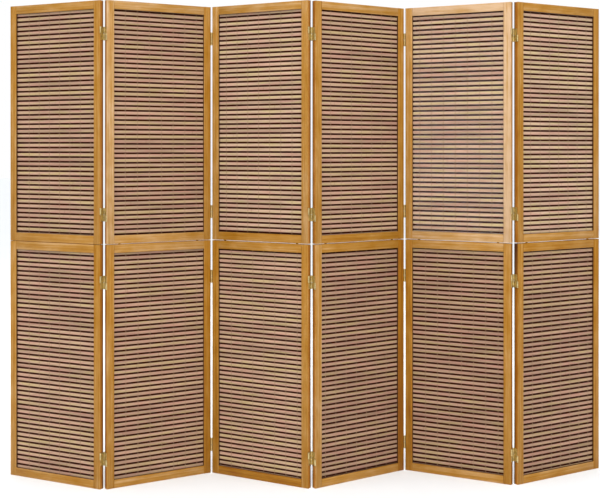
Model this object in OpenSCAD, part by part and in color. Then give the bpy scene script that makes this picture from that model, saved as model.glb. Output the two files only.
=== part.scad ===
// Folding screen. Six panels stand in a zigzag, joined by hinges that fold both ways.
// Each panel is a lower and an upper frame, and each frame holds a mat woven from flat
// slats, round sticks and warp threads.
//
// In plan X runs along the screen, Y runs to the back and Z is up. Each panel is drawn with
// its front left bottom corner at its own origin, and at_panel() puts it in its place.

/* [Screen] */
// Height of the whole screen
screen_h = 1700; // [1200:10:2200]
// Width of one panel
panel_w = 400; // [250:5:600]
// Thickness of a frame, front to back
frame_t = 19; // [14:0.5:30]
// Narrowest gap between the lower and the upper frame of a panel
seam = 1.2; // [0.6:0.1:4]
// Gap between the edges of two panels when they stand in line
edge_gap = 4.4; // [4:0.1:6]

/* [Folds] */
// Direction of the first panel, seen from above
first_heading = -26.5; // [-60:0.1:0]
// Fold between panels 1 and 2, from standing in line
fold_1 = 56.9; // [20:0.1:120]
// Fold between panels 2 and 3
fold_2 = 59.5; // [20:0.1:120]
// Fold between panels 3 and 4
fold_3 = 63.7; // [20:0.1:120]
// Fold between panels 4 and 5
fold_4 = 62.2; // [20:0.1:120]
// Fold between panels 5 and 6
fold_5 = 58.9; // [20:0.1:120]

/* [Frames] */
// Width of a stile, the upright of a frame
stile_w = 28; // [20:1:60]
// Height of a rail, the crosspiece of a frame
rail_h = 30; // [24:1:80]
// Size of the bevel on the long edges
bevel = 1.2; // [1:0.1:3]
// Depth of the groove that holds the mat
groove_depth = 8; // [5:0.5:12]
// Room on each side of a rail's tenon in the groove
tenon_clear = 0.1; // [0.05:0.05:0.5]
// Room beyond the end of a tenon, slat or thread in the groove
end_clear = 0.5; // [0.2:0.1:2]

/* [Dowels] */
// Diameter of the dowels between the two frames
dowel_d = 8; // [5:0.5:10]
// Depth of a dowel in each frame
dowel_depth = 14; // [8:1:18]
// Distance from the panel's edge to the dowel
dowel_inset = 50; // [42:1:100]
// Radial room for the dowel in its hole
dowel_clear = 0.1; // [0.05:0.05:0.3]

/* [Mats] */
// Height of a slat's face
slat_w = 11.2; // [6:0.1:20]
// Thickness of a slat
slat_t = 4; // [2:0.1:4.5]
// Size of a stick across its flats
stick_d = 4.9; // [4.6:0.1:6]
// Width of a warp thread
thread_w = 1.4; // [0.8:0.1:3]
// Thickness of a warp thread
thread_t = 0.6; // [0.3:0.1:1]
// Distance between warp threads
thread_pitch = 45.6; // [20:0.1:80]
// Room between the threads and the side of the groove
mat_clear = 0.3; // [0.2:0.1:1]

/* [Hinges] */
// Height of a hinge
hinge_h = 46; // [36:1:80]
// Distance from the bottom of a frame to the middle of its lower hinge
hinge_rise = 103; // [60:1:200]
// Distance from the top of the lower frame to the middle of its upper hinge
lower_hinge_drop = 132; // [60:1:200]
// Distance from the top of the upper frame to the middle of its upper hinge
upper_hinge_drop = 115; // [60:1:200]
// Thickness of the hinge plates
leaf_t = 1.2; // [0.8:0.1:1.5]
// Distance from a frame's face out to the hinge's axis
axis_out = 1; // [0.8:0.1:4]
// Diameter of a hinge pin
pin_d = 3.1; // [2.4:0.1:3.4]
// Radial room for a pin in its knuckle
run_clear = 0.05; // [0.03:0.01:0.1]
// Length of one knuckle of a leaf
knuckle_l = 5; // [3:0.5:8]
// Room between two knuckles
knuckle_gap = 0.3; // [0.2:0.05:0.6]
// Thickness of a pin's head
pin_head_t = 0.8; // [0.4:0.1:1.2]
// How far a pin's head reaches past the pin's side
pin_head_lip = 0.9; // [0.4:0.1:1.2]
// Room under a pin's head
pin_play = 0.1; // [0.05:0.05:0.3]

/* [Screws] */
// Diameter of a screw's shank
screw_d = 2.8; // [2:0.1:4]
// Diameter of a screw's head
screw_head_d = 5.6; // [5:0.1:8]
// Length of a screw under its head
screw_l = 14; // [8:1:16]
// Distance from the middle of a hinge to its screws
screw_rise = 13; // [8:1:16]
// Room around a screw
screw_clear = 0.05; // [0.03:0.01:0.2]

/* [Hidden] */
folds = [fold_1, fold_2, fold_3, fold_4, fold_5];
panels = len(folds) + 1;
LOWER = 0;
UPPER = 1;
// The frames aren't quite alike, so the gap of each panel stands this much wider
seam_extra = [0.2, 0.9, 1.5, 0, 0.8, 1.2];

// Each mat is cut from a longer weave, so the mats differ: [lower mat, upper mat] by panel.
// Slack between a slat and a stick, over and above their sizes
weave_slack = [[0.55, 0.7], [0.55, 0.55], [0.2, 0.75], [0.55, 0.55], [0.6, 1.3], [0.9, 0.7]];
// Distance from the top rail's lower edge down to the middle of the first stick
weave_start = [[11, 11.5], [10.5, 3.5], [2.5, 10.5], [3, 1.5], [0, 0.5], [1, 3.5]];
// How far the threads lie to the right of the mat's middle
thread_shift = [[18, 18], [10, 8], [15, -6], [-15, 8], [14, -9], [13, 4]];
threads = 7;
// Thinnest strip of a slat that is left at a mat's cut edge, inside the groove
strip_min = 3;

frame_h = (screen_h - seam - max(seam_extra)) / 2;
opening_w = panel_w - 2 * stile_w;
groove_w = stick_d + 2 * (thread_t + mat_clear);
tenon_w = groove_w - 2 * tenon_clear;
tenon_l = groove_depth - end_clear;
mid_y = frame_t / 2;
// Size of the chamfer at the ends of a dowel
dowel_tip = 1;

// Hinge sizes, from the middle of the gap between two panels
axis_y = mid_y + axis_out;
knuckle_wall = 1.25;
knuckle_r = pin_d / 2 + knuckle_wall;
bore_r = pin_d / 2 + run_clear;
leaf_inset = 2.4;
leaf_half_d = mid_y - leaf_inset;
link_side_gap = 0.4;
// How far a knuckle's strap runs into its leaf
strap_lap = 1;
link_half_d = axis_y - knuckle_r - link_side_gap;
// The pin heads of a hinge's two halves meet near its middle with this much between them
head_gap = 0.4;
half_start = head_gap / 2 + pin_head_t + pin_play;
half_end = hinge_h / 2;
link_knuckle_z = half_start + knuckle_l + knuckle_gap;
link_knuckle_l = half_end - half_start - 2 * (knuckle_l + knuckle_gap);
slot_w = 0.8;
slot_depth = 0.6;
screw_tip_l = 2.5;
screw_tip_d = 0.4;
pilot_extra = 0.5;
ROUND = 32;
// How far a cutting shape runs past the face that it opens
cut = 1;

// A fold with an odd number is a ridge, which points to the front and turns on its back axis.
// One with an even number is a valley and turns on its front axis.
function is_ridge(k) = k % 2 == 1;
function turn(k) = is_ridge(k) ? folds[k - 1] : -folds[k - 1];
function heading(p) = p == 1 ? first_heading : heading(p - 1) + turn(p - 1);
function turned(v, a) = [v.x * cos(a) - v.y * sin(a), v.x * sin(a) + v.y * cos(a)];
function fold_y(k) = is_ridge(k) ? mid_y + axis_y : mid_y - axis_y;

// Front left corner of a panel in plan, with panel 1's corner at zero
function corner(p) = p == 1 ? [0, 0]
    : corner(p - 1)
        + turned([panel_w + edge_gap / 2, fold_y(p - 1)], heading(p - 1))
        - turned([-edge_gap / 2, fold_y(p - 1)], heading(p));
function in_plan(p, v) = corner(p) + turned(v, heading(p));

// The screen's origin is the middle of its outline in plan
edge_points = [for (p = [1 : panels]) for (x = [0, panel_w]) for (y = [0, frame_t]) in_plan(p, [x, y])];
knuckle_points = [for (k = [1 : panels - 1]) for (side = [0, 1]) for (end = [-1, 1])
    in_plan(k + side, [side == 0 ? panel_w + edge_gap / 2 : -edge_gap / 2, mid_y + end * axis_y])];
reach = [for (v = knuckle_points) for (s = [-knuckle_r, knuckle_r]) v + [s, s]];
outline = concat(edge_points, reach);
function middle(i) = (min([for (v = outline) v[i]]) + max([for (v = outline) v[i]])) / 2;
centre = [middle(0), middle(1)];

function panel_seam(p) = seam + seam_extra[p - 1];
function frame_z(p, f) = f == LOWER ? 0 : frame_h + panel_seam(p);

// The two panels of a fold share their hinges' heights, so these leave out the wider gaps
upper_frame_z = frame_h + seam;
function hinge_heights() = [
    hinge_rise,
    frame_h - lower_hinge_drop,
    upper_frame_z + hinge_rise,
    upper_frame_z + frame_h - upper_hinge_drop];

// The mat's run in a frame. It ends inside the grooves of the two rails, where the threads
// go round its ends.
mat_seat = groove_depth - end_clear - thread_t;
mat_h = frame_h - 2 * rail_h + 2 * mat_seat;
function opening_low(p, f) = frame_z(p, f) + rail_h;
function opening_high(p, f) = frame_z(p, f) + frame_h - rail_h;
function mat_low(p, f) = opening_low(p, f) - mat_seat;
function mat_high(p, f) = opening_high(p, f) + mat_seat;
function weave_pitch(p, f) = slat_w + stick_d + weave_slack[p - 1][f];
function stick_z(p, f, k) = opening_high(p, f) - weave_start[p - 1][f] - k * weave_pitch(p, f);
function slat_z(p, f, k) = stick_z(p, f, k) + weave_pitch(p, f) / 2;
function weave_count(p, f) = ceil(mat_h / weave_pitch(p, f));
function thread_x(p, f, i) =
    panel_w / 2 + thread_shift[p - 1][f] + (i - (threads - 1) / 2) * thread_pitch;

module at_panel(p) {
    place = corner(p) - centre;
    translate([place.x, place.y, 0])
        rotate([0, 0, heading(p)])
            children();
}

// Puts a piece of hinge at each height on the left or the right edge of a panel
module on_left_edge() {
    for (z = hinge_heights())
        translate([-edge_gap / 2, mid_y, z])
            rotate([0, 0, 180])
                children();
}

module on_right_edge() {
    for (z = hinge_heights())
        translate([panel_w + edge_gap / 2, mid_y, z])
            children();
}

module on_hinged_edges(p) {
    if (p > 1) on_left_edge() children();
    if (p < panels) on_right_edge() children();
}

// A bar's cross-section with bevelled edges and a groove in its far side
module bar_section(w) {
    difference() {
        polygon([
            [bevel, 0], [w - bevel, 0], [w, bevel], [w, frame_t - bevel],
            [w - bevel, frame_t], [bevel, frame_t], [0, frame_t - bevel], [0, bevel]]);
        translate([w - groove_depth, mid_y - groove_w / 2])
            square([groove_depth + cut, groove_w]);
    }
}

// Stile with its outer edge at X = 0
module stile() {
    linear_extrude(frame_h) bar_section(stile_w);
}

module pilot_holes() {
    for (z = [-screw_rise, screw_rise])
        translate([cut - edge_gap / 2, 0, z])
            rotate([0, -90, 0])
                cylinder(r = screw_d / 2 + screw_clear, h = cut + screw_l + pilot_extra, $fn = ROUND);
}

module stiles(p) {
    color("peru") at_panel(p) difference() {
        for (f = [LOWER, UPPER])
            translate([0, 0, frame_z(p, f)]) {
                stile();
                translate([panel_w, frame_t, 0]) rotate([0, 0, 180]) stile();
            }
        on_hinged_edges(p) pilot_holes();
    }
}

// Rail with its outer edge at Z = 0, its groove on top and a tenon at each end
module rail() {
    translate([stile_w, 0, 0]) {
        translate([opening_w, 0, 0])
            rotate([0, -90, 0])
                linear_extrude(opening_w) bar_section(rail_h);
        translate([-tenon_l, mid_y - tenon_w / 2, 0])
            cube([opening_w + 2 * tenon_l, tenon_w, rail_h - groove_depth]);
    }
}

module dowel_holes(p) {
    for (x = [dowel_inset, panel_w - dowel_inset])
        translate([x, mid_y, frame_h - dowel_depth])
            cylinder(d = dowel_d + 2 * dowel_clear, h = 2 * dowel_depth + panel_seam(p), $fn = ROUND);
}

module rails(p) {
    color("burlywood") at_panel(p) difference() {
        for (f = [LOWER, UPPER])
            translate([0, 0, frame_z(p, f)]) {
                rail();
                translate([0, frame_t, frame_h]) rotate([180, 0, 0]) rail();
            }
        dowel_holes(p);
    }
}

// A dowel stands on the bottom of its hole in the lower frame
module dowels(p) {
    length = 2 * dowel_depth + seam;
    color("saddlebrown") at_panel(p)
        for (x = [dowel_inset, panel_w - dowel_inset])
            translate([x, mid_y, frame_h - dowel_depth]) {
                cylinder(d1 = dowel_d - 2 * dowel_tip, d2 = dowel_d, h = dowel_tip, $fn = ROUND);
                translate([0, 0, dowel_tip])
                    cylinder(d = dowel_d, h = length - 2 * dowel_tip, $fn = ROUND);
                translate([0, 0, length - dowel_tip])
                    cylinder(d1 = dowel_d, d2 = dowel_d - 2 * dowel_tip, h = dowel_tip, $fn = ROUND);
            }
}

// Slats are whole, except where the mat's cut edge lies in a rail's groove
module slats(p) {
    color("tan") at_panel(p)
        for (f = [LOWER, UPPER])
            for (k = [0 : weave_count(p, f)]) {
                low = max(slat_z(p, f, k) - slat_w / 2, mat_low(p, f));
                high = min(slat_z(p, f, k) + slat_w / 2, mat_high(p, f));
                if (high - low >= strip_min)
                    translate([stile_w - tenon_l, mid_y - slat_t / 2, low])
                        cube([opening_w + 2 * tenon_l, slat_t, high - low]);
            }
}

// A stick that would lie wholly in a rail's groove is left out of the mat
module sticks(p) {
    color("saddlebrown") at_panel(p)
        for (f = [LOWER, UPPER])
            for (k = [0 : weave_count(p, f)])
                if (stick_z(p, f, k) + stick_d / 2 > opening_low(p, f))
                    translate([stile_w - tenon_l, mid_y, stick_z(p, f, k)])
                        rotate([0, 90, 0])
                            rotate([0, 0, 22.5])
                                cylinder(d = stick_d / cos(22.5), h = opening_w + 2 * tenon_l, $fn = 8);
}

// Each warp thread is a loop, with a strand in front of the sticks and one behind them
module threads(p) {
    color("wheat") at_panel(p)
        for (f = [LOWER, UPPER])
            for (i = [0 : threads - 1])
                translate([thread_x(p, f, i) - thread_w / 2, mid_y, mat_low(p, f)])
                    thread_loop();
}

module thread_loop() {
    inner = stick_d / 2;
    outer = inner + thread_t;
    difference() {
        translate([0, -outer, -thread_t]) cube([thread_w, 2 * outer, mat_h + 2 * thread_t]);
        translate([-cut, -inner, 0]) cube([thread_w + 2 * cut, 2 * inner, mat_h]);
    }
}

// Two knuckles in front of a leaf's upper half, on the straps that carry them
module leaf_knuckles() {
    for (z = [half_start, half_end - knuckle_l])
        translate([0, -axis_y, z]) {
            cylinder(r = knuckle_r, h = knuckle_l, $fn = ROUND);
            translate([-edge_gap / 2, 0, 0])
                cube([leaf_t, axis_y - leaf_half_d + strap_lap, knuckle_l]);
        }
}

module pin_bore() {
    translate([0, -axis_y, 0])
        cylinder(r = bore_r, h = half_end + cut, $fn = ROUND);
}

// Leaf of a left-hand panel: front knuckles in its upper half, back knuckles in its lower
// half. Turned half round, it is the leaf of the right-hand panel.
module hinge_leaf() {
    difference() {
        union() {
            translate([-edge_gap / 2, -leaf_half_d, -half_end])
                cube([leaf_t, 2 * leaf_half_d, hinge_h]);
            for (flip = [0, 180])
                rotate([flip, 0, 0]) leaf_knuckles();
        }
        for (flip = [0, 180])
            rotate([flip, 0, 0]) pin_bore();
        for (z = [-screw_rise, screw_rise])
            translate([-edge_gap / 2, 0, z])
                rotate([0, 90, 0])
                    cylinder(r1 = screw_d / 2 + screw_clear, r2 = screw_head_d / 2 + screw_clear,
                        h = leaf_t, $fn = ROUND);
    }
}

module hinge_leaves(p) {
    color("gold") at_panel(p) on_hinged_edges(p) hinge_leaf();
}

// Link plate of a hinge's upper half. It joins the front axis to the back axis.
module hinge_link() {
    difference() {
        union() {
            translate([-leaf_t / 2, -link_half_d, half_start])
                cube([leaf_t, 2 * link_half_d, half_end - half_start]);
            translate([-leaf_t / 2, -axis_y, link_knuckle_z])
                cube([leaf_t, 2 * axis_y, link_knuckle_l]);
            for (y = [-axis_y, axis_y])
                translate([0, y, link_knuckle_z])
                    cylinder(r = knuckle_r, h = link_knuckle_l, $fn = ROUND);
        }
        for (flip = [0, 180])
            rotate([0, 0, flip]) pin_bore();
    }
}

// Pin with a riveted head at each end
module hinge_pin() {
    translate([0, 0, half_start - pin_play])
        cylinder(d = pin_d, h = half_end - half_start + 2 * pin_play, $fn = ROUND);
    for (z = [half_start - pin_play - pin_head_t, half_end + pin_play])
        translate([0, 0, z])
            cylinder(r = pin_d / 2 + pin_head_lip, h = pin_head_t, $fn = ROUND);
}

// Of a fold's two links, the one whose moving pin lies on the fold's axis stays with the
// panel before it. At a ridge that is the upper link, and at a valley the lower one.
module on_link_halves(p) {
    if (p > 1)
        on_left_edge() rotate([is_ridge(p - 1) ? 180 : 0, 0, 0]) children();
    if (p < panels)
        on_right_edge() rotate([is_ridge(p) ? 0 : 180, 0, 0]) children();
}

module hinge_links(p) {
    color("goldenrod") at_panel(p) on_link_halves(p) hinge_link();
}

module hinge_pins(p) {
    color("darkgoldenrod") at_panel(p) on_link_halves(p)
        for (y = [-axis_y, axis_y])
            translate([0, y, 0]) hinge_pin();
}

// Countersunk wood screw, its head flush with a leaf and its tip at -X
module screw() {
    rotate([0, -90, 0]) difference() {
        union() {
            translate([0, 0, -leaf_t])
                cylinder(r1 = screw_head_d / 2, r2 = screw_d / 2, h = leaf_t, $fn = ROUND);
            cylinder(d = screw_d, h = screw_l - screw_tip_l, $fn = ROUND);
            translate([0, 0, screw_l - screw_tip_l])
                cylinder(d1 = screw_d, d2 = screw_tip_d, h = screw_tip_l, $fn = ROUND);
        }
        translate([-screw_head_d / 2 - cut, -slot_w / 2, -leaf_t - cut])
            cube([screw_head_d + 2 * cut, slot_w, cut + slot_depth]);
    }
}

module screws(p) {
    color("silver") at_panel(p) on_hinged_edges(p)
        for (z = [-screw_rise, screw_rise])
            translate([-edge_gap / 2, 0, z]) screw();
}

for (p = [1 : panels]) {
    stiles(p);
    rails(p);
    slats(p);
    sticks(p);
    threads(p);
    dowels(p);
    hinge_leaves(p);
    hinge_links(p);
    hinge_pins(p);
    screws(p);
}
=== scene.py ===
"""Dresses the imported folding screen: six hinged panels with woven slat mats.

Everything is in metres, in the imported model's own frame: X along the screen, Y to the back, Z up.
Each panel also has a frame of its own, with its origin on the floor in the panel's middle, X along
the panel, Y through it and Z up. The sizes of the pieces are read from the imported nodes.
"""

import math
import random
from collections import namedtuple

import bmesh
import bpy
import numpy as np
from bpy.props import FloatProperty, FloatVectorProperty, PointerProperty
from mathutils import Matrix, Vector


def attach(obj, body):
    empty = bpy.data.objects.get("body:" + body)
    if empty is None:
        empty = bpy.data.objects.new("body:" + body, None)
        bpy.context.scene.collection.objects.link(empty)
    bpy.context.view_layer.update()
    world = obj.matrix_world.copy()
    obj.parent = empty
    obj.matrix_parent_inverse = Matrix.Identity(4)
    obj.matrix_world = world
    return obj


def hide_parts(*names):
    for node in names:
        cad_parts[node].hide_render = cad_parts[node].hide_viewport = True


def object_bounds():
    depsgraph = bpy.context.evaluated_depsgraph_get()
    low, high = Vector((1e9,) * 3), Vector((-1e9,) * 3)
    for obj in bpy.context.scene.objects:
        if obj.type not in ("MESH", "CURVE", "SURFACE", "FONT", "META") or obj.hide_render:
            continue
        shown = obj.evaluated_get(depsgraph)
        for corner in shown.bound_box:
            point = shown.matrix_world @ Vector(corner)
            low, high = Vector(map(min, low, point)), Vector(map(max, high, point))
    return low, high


bl_info = {
    "name": "Folding screen",
    "version": (1, 0, 0),
    "blender": (4, 5, 0),
    "location": "View3D > Sidebar > Screen",
    "description": "Builds the frames, mats and hinges of a folding screen around its packed model",
    "category": "Object",
}

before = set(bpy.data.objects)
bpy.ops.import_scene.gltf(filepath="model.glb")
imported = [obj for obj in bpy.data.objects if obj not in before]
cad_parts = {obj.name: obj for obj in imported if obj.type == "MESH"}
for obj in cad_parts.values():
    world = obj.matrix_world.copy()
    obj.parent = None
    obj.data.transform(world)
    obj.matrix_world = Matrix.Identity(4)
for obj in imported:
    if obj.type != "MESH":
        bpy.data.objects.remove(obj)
cad_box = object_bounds()

MM = 0.001
PANELS = range(1, 7)
# Seed of each kind's random draws, to which the panel's number is added
SEEDS = {"stiles": 100, "rails": 200, "slats": 0, "sticks": 10, "threads": 20, "hardware": 30}
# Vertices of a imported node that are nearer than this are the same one
MERGE = 0.01 * MM


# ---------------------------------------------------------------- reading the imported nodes

Panel = namedtuple("Panel", "number body heading place")
Solid = namedtuple("Solid", "low high")


def solid_middle(solid):
    return (solid.low + solid.high) / 2


def solid_size(solid):
    return solid.high - solid.low


def find_panel(number):
    """Finds a panel's middle and heading in plan, where all its slats have the same corners."""
    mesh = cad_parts[f"panel_{number}_slats"].data
    corners = np.unique(np.round([v.co[:2] for v in mesh.vertices], 5), axis=0)
    middle = corners.mean(axis=0)
    spread = (corners - middle).T @ (corners - middle)
    along = np.linalg.eigh(spread)[1][:, 1]
    if along[0] < 0:
        along = -along
    heading = math.atan2(along[1], along[0])
    place = Matrix.Translation((*middle, 0)) @ Matrix.Rotation(heading, 4, "Z")
    return Panel(number, f"panel_{number}", heading, place)


def island_of(start, left):
    """All vertices joined to start. They are taken out of left."""
    found, waiting = [start], [start]
    while waiting:
        for edge in waiting.pop().link_edges:
            for vert in edge.verts:
                if vert in left:
                    left.remove(vert)
                    waiting.append(vert)
                    found.append(vert)
    return found


def solids_of(panel, kind):
    """The separate solids of one of a panel's nodes, each as a box in the panel's own frame,
    from the bottom up and then from the left."""
    shape = bmesh.new()
    shape.from_mesh(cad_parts[f"{panel.body}_{kind}"].data)
    bmesh.ops.remove_doubles(shape, verts=shape.verts, dist=MERGE)
    shape.transform(panel.place.inverted())
    left = set(shape.verts)
    solids = []
    while left:
        points = np.array([v.co for v in island_of(left.pop(), left)])
        solids.append(Solid(Vector(points.min(axis=0)), Vector(points.max(axis=0))))
    shape.free()
    return sorted(solids, key=lambda s: [round(value, 4) for value in (s.low.z, s.low.x, s.low.y)])


# ---------------------------------------------------------------- settings


def length(name, text, millimetres):
    return FloatProperty(
        name=name, description=text, default=millimetres * MM, min=0, unit="LENGTH",
        subtype="DISTANCE", precision=5)


def linear(value):
    return value / 12.92 if value <= 0.04045 else ((value + 0.055) / 1.055) ** 2.4


def colour(code):
    """Linear red, green, blue and alpha of an sRGB hex code."""
    return [linear(int(code[i:i + 2], 16) / 255) for i in (0, 2, 4)] + [1.0]


def paint(name, text, code):
    return FloatVectorProperty(
        name=name, description=text, default=colour(code), size=4, min=0, max=1, subtype="COLOR")


class BoardSettings(bpy.types.PropertyGroup):
    stile_radius: length("Stile edge radius", "Rounding of the long edges of a stile", 1.7)
    rail_radius: length("Rail edge radius", "Rounding of the long edges of a rail", 1.2)
    end_ease: length("End ease", "How much the ends of a board are eased", 0.5)
    groove_width: length("Groove width", "Width of the groove that holds the mat", 6.7)
    groove_depth: length("Groove depth", "Depth of the groove that holds the mat", 8.0)
    tenon_clear: length("Tenon clearance", "Room on each side of a tenon in the groove", 0.1)
    # The rim is a band of painted shade on a stile's outer edge, where a fold closes
    rim: length("Rim", "Width of the dark rim on a stile's edge, where a fold closes", 8.0)
    deep: paint("Deep stain", "The deepest boards", "88510C")
    dark: paint("Dark stain", "The darker boards", "9B6710")
    honey: paint("Honey stain", "The usual boards", "AA7A34")
    light: paint("Light stain", "The lighter boards", "BB925E")
    pale: paint("Pale stain", "The palest boards", "CBA883")
    # Painted shade along the inner edges beside the mat, on the fold rims and down the shade runs
    pool: paint("Pooled stain", "Where stain pools along an inner edge or a rim", "4A2A12")
    # Warm painted shade on the outer edges, which darkens them and deepens their colour
    outer_edge_shade: paint("Soaked edge", "Cast of the outer edges, which drink more stain", "F8E2BE")


class MatSettings(bpy.types.PropertyGroup):
    slat_tight: length("Slat tightness", "How much taller a slat is than the packed one", 0.7)
    stick_tight: length("Stick tightness", "How much thicker a stick is than the packed one", 0.3)
    slat_edge: length("Slat edge radius", "Rounding of a slat's edges", 1.1)
    waviness: length("Waviness", "How far a slat or stick strays from straight", 0.15)
    thread_width: length("Thread width", "Width of a warp thread", 1.4)
    thread_thickness: length("Thread thickness", "Thickness of a warp thread", 0.6)
    tan: paint("Tan slat", "The usual bamboo tone", "C6A68B")
    pink: paint("Pink slat", "The reddish bamboo tone", "CA9E88")
    yellow: paint("Yellow slat", "The yellowish bamboo tone", "C4AC7F")
    ring: paint("Cane ring", "Where a joint of the cane was", "6A4A30")
    # Painted shade in the crevice beside each stick, on a slat's rounded edges
    edge: paint("Slat edge", "Stain that the sticks leave on a slat's edges", "341204")
    stick: paint("Stick", "Dark stain of the sticks", "300D02")
    thread: paint("Thread", "Unbleached cotton of the warp", "B08E6C")


class HingeSettings(bpy.types.PropertyGroup):
    edge_gap: length("Edge gap", "Gap between the edges of two panels in line", 4.4)
    height: length("Height", "Height of a hinge", 46.0)
    plate: length("Plate", "Thickness of the leaves and links", 1.2)
    leaf_half: length("Leaf half width", "From the middle of a leaf to its long edge", 7.4)
    link_half: length("Link half width", "From the middle of a link to its long edge", 7.5)
    axis_out: length("Axis", "From the hinge's middle to a pin's axis", 10.5)
    barrel: length("Barrel radius", "Outer radius of a knuckle", 2.8)
    bore: length("Bore radius", "Inner radius of a knuckle", 1.6)
    knuckle: length("Knuckle", "Length of a leaf's knuckle", 5.0)
    gap: length("Knuckle gap", "Room between two knuckles", 0.3)
    half_start: length("Half start", "From the hinge's middle to its first knuckle", 1.1)
    shank: length("Screw shank", "Radius of a screw below its head", 1.4)
    brass: paint("Brass", "Brass plating", "E6D096")


class StageSettings(bpy.types.PropertyGroup):
    camera_place: FloatVectorProperty(
        name="Camera", description="Where the camera stands", subtype="TRANSLATION",
        unit="LENGTH", default=(-0.0280, -3.9924, 1.1849))
    lens: FloatProperty(name="Lens", description="Focal length in millimetres", default=66.70)
    shift: FloatProperty(name="Shift", description="Vertical lens shift", default=-0.1682)
    sky: FloatProperty(name="Sky", description="Strength of the even light", default=0.45)
    sun: FloatProperty(name="Sun", description="Strength of the broad light", default=2.4)
    floor_size: length("Floor size", "Side of the floor", 80000)
    floor: paint("Floor", "Pale painted floor", "F5F8FA")


GROUPS = {
    "screen_boards": BoardSettings,
    "screen_mats": MatSettings,
    "screen_hinges": HingeSettings,
    "screen_stage": StageSettings,
}


# ---------------------------------------------------------------- nodes and meshes


def add_node(tree, kind, inputs=None, out=0, stops=(), **settings):
    """Adds a node and gives back one of its outputs. inputs gives each socket, by its name or
    number, a value or another node's output. stops are a colour ramp's places and colours."""
    node = tree.nodes.new(kind)
    for name, value in settings.items():
        setattr(node, name, value)
    for key, value in (inputs or {}).items():
        if isinstance(value, bpy.types.NodeSocket):
            tree.links.new(value, node.inputs[key])
        else:
            node.inputs[key].default_value = value
    for number, (place, value) in enumerate(stops):
        elements = node.color_ramp.elements
        element = elements[number] if number < len(elements) else elements.new(place)
        element.position = place
        element.color = value
    return node.outputs[out] if len(node.outputs) else node


def link_object(name, mesh):
    piece = bpy.data.objects.new(name, mesh)
    bpy.context.scene.collection.objects.link(piece)
    return piece


# Angle in degrees between two faces from which their shared edge is crisp, and the same for a
# stick, whose ten sides should look round
CRISP, STICK_CRISP = 35, 50


def smooth_mesh(mesh, crisp=CRISP):
    mesh.shade_smooth()
    mesh.set_sharp_from_angle(angle=math.radians(crisp))


def finish_mesh(name, shape, material):
    """Turns a bmesh into an object with smooth faces and crisp edges."""
    bmesh.ops.recalc_face_normals(shape, faces=shape.faces)
    mesh = bpy.data.meshes.new(name)
    shape.to_mesh(mesh)
    shape.free()
    smooth_mesh(mesh)
    mesh.materials.append(material)
    return link_object(name, mesh)


def quarter_circle(middle_a, middle_b, radius, start, steps):
    """Outline points of a quarter circle, counterclockwise from a starting angle in degrees."""
    angles = [math.radians(start + 90 * step / steps) for step in range(steps + 1)]
    return [(middle_a + radius * math.cos(a), middle_b + radius * math.sin(a)) for a in angles]


def place_piece(piece, panel, kind):
    """Lets a piece ride on its panel in place of one of the panel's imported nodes."""
    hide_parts(f"{panel.body}_{kind}")
    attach(piece, panel.body)


# ---------------------------------------------------------------- materials

# Sockets of a Mix node for colours: how much, the colour below, the one above, and the result
MUCH, BELOW, ABOVE, MIXED = 0, 6, 7, 2
BLEND = {"data_type": "RGBA"}
MULTIPLY = {"data_type": "RGBA", "blend_type": "MULTIPLY"}
WHITE = (1, 1, 1, 1)
# Length, width and depth in mm of the pine's streaks, and how much each kind weighs
PINE_STREAKS = (((500, 7, 7), 0.75), ((70, 25, 25), 0.65), ((200, 2.6, 2.6), 0.4))
# How much a board's own tone weighs, and what brings tone and streaks to the middle
TONE_WEIGHT, TONE_START = 0.5, -0.37
# Where the stains stand on the scale of tone and streaks, from the deepest to the palest
STAIN_STEPS = (0.03, 0.28, 0.53, 0.78, 1.0)
# Length in metres of the cane that the slats are split from, each at its own place
CANE_RUN = 9.0
# Half the distance between two joints of a cane, and half the width of the ring they leave
CANE_HALF, RING_HALF = 310 * MM, 0.8 * MM
# Height from a slat's middle where the painted shade beside the sticks begins, and where it is full
CREVICE_SHADE_START, CREVICE_SHADE_FULL = 4.6 * MM, 5.3 * MM
# Scale of the thread's ply, for a turn of 3.77 mm. It is coarser than a real one, so that it shows
PLY_SCALE = 166.66667


def new_material(name):
    material = bpy.data.materials.new(name)
    material.use_nodes = True
    material.node_tree.nodes.clear()
    return material, material.node_tree


def end_material(tree, inputs, relief=None, depth=0.0, strength=0.5):
    """Closes a material's tree with its surface, which relief embosses to a depth."""
    if relief is not None:
        inputs["Normal"] = add_node(
            tree, "ShaderNodeBump", {"Height": relief, "Distance": depth, "Strength": strength})
    surface = add_node(tree, "ShaderNodeBsdfPrincipled", inputs)
    add_node(tree, "ShaderNodeOutputMaterial", {"Surface": surface})


def shaded(tone, amount):
    """A colour made darker or lighter."""
    return [min(value * amount, 1) for value in tone[:3]] + [1]


def patches(tree, vector, sizes_mm, detail=3.0):
    """Cloudy pattern from 0 to 1 whose clouds have the given size in millimetres on each axis."""
    scale = [1 / (size * MM) for size in sizes_mm]
    scaled = add_node(tree, "ShaderNodeMapping", {"Vector": vector, "Scale": scale})
    return add_node(tree, "ShaderNodeTexNoise", {"Vector": scaled, "Scale": 1.0, "Detail": detail})


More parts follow.
